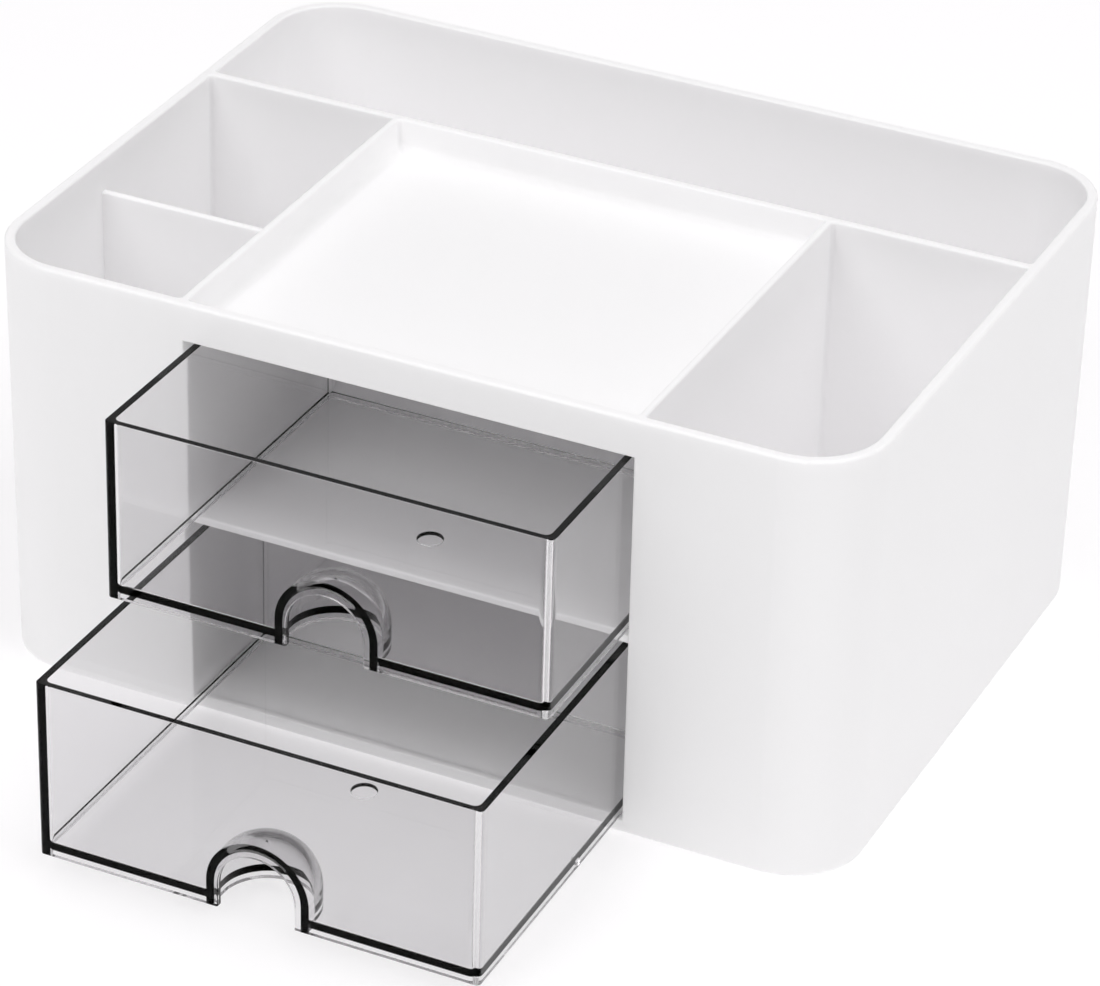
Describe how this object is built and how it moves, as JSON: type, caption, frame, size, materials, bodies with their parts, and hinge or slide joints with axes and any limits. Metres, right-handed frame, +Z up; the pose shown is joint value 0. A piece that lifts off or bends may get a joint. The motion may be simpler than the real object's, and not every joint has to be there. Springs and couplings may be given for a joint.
{
  "type": "desk organizer with drawers",
  "caption": "White moulded desk organizer with rounded corners, open compartments round a shallow tray, and smoked clear drawers stacked in the front, each with a finger scoop.",
  "frame": {"origin": "under the middle of the whole object as it stands with its drawers part open, on the desk surface", "axes": "+X to the right seen from the front, +Y to the back (the drawers open towards -Y), +Z up"},
  "size_m": [0.25, 0.266, 0.1238],
  "materials": {
    "white_plastic": "satin white moulded plastic",
    "smoked_plastic": "clear grey moulded plastic, polished",
    "foot_rubber": "soft pale grey pad"
  },
  "bodies": {
    "housing": {"housing": "white_plastic", "drawer_shelf": "white_plastic", "base_plate": "white_plastic", "foot_front_left": "foot_rubber", "foot_front_right": "foot_rubber", "foot_rear_left": "foot_rubber", "foot_rear_right": "foot_rubber"},
    "upper_drawer": {"upper_drawer": "smoked_plastic"},
    "lower_drawer": {"lower_drawer": "smoked_plastic"}
  },
  "joints": [
    {"name": "upper_drawer_slide", "type": "slide", "parent": "housing", "child": "upper_drawer", "axis": [0, -1, 0], "range_m": [-0.044, 0.051]},
    {"name": "lower_drawer_slide", "type": "slide", "parent": "housing", "child": "lower_drawer", "axis": [0, -1, 0], "range_m": [-0.0824, 0.0126]}
  ]
}
